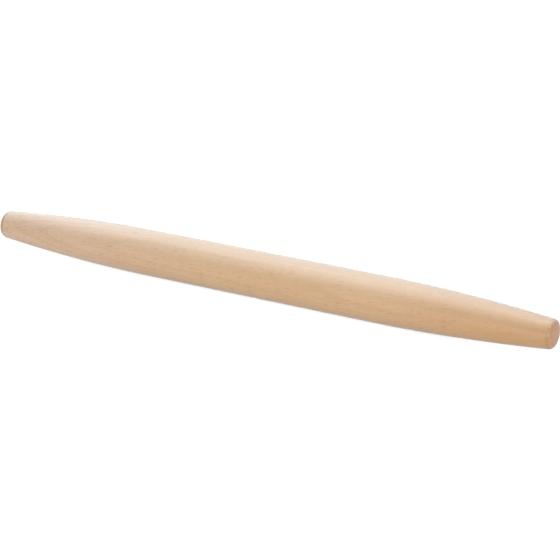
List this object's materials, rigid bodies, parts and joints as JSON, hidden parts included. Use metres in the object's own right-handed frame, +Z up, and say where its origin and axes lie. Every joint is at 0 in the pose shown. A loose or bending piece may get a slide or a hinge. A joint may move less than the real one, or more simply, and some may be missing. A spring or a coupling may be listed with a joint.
{
  "type": "french rolling pin",
  "caption": "Tapered wooden rolling pin without handles, turned in one piece: a straight rolling section that curves down to a narrower flat end on each side.",
  "frame": {"origin": "on the underside of the rolling section, midway between the end faces, where the pin rests on a worktop", "axes": "+X along the pin's own axis towards the end nearest the camera in the picture, +Z up from the worktop, +Y away from the user"},
  "size_m": [0.51, 0.038, 0.0379],
  "materials": {
    "beech": "fine-sanded bare beech with a faint satin sheen"
  },
  "bodies": {
    "root": {"turned_pin": "beech"}
  },
  "joints": []
}
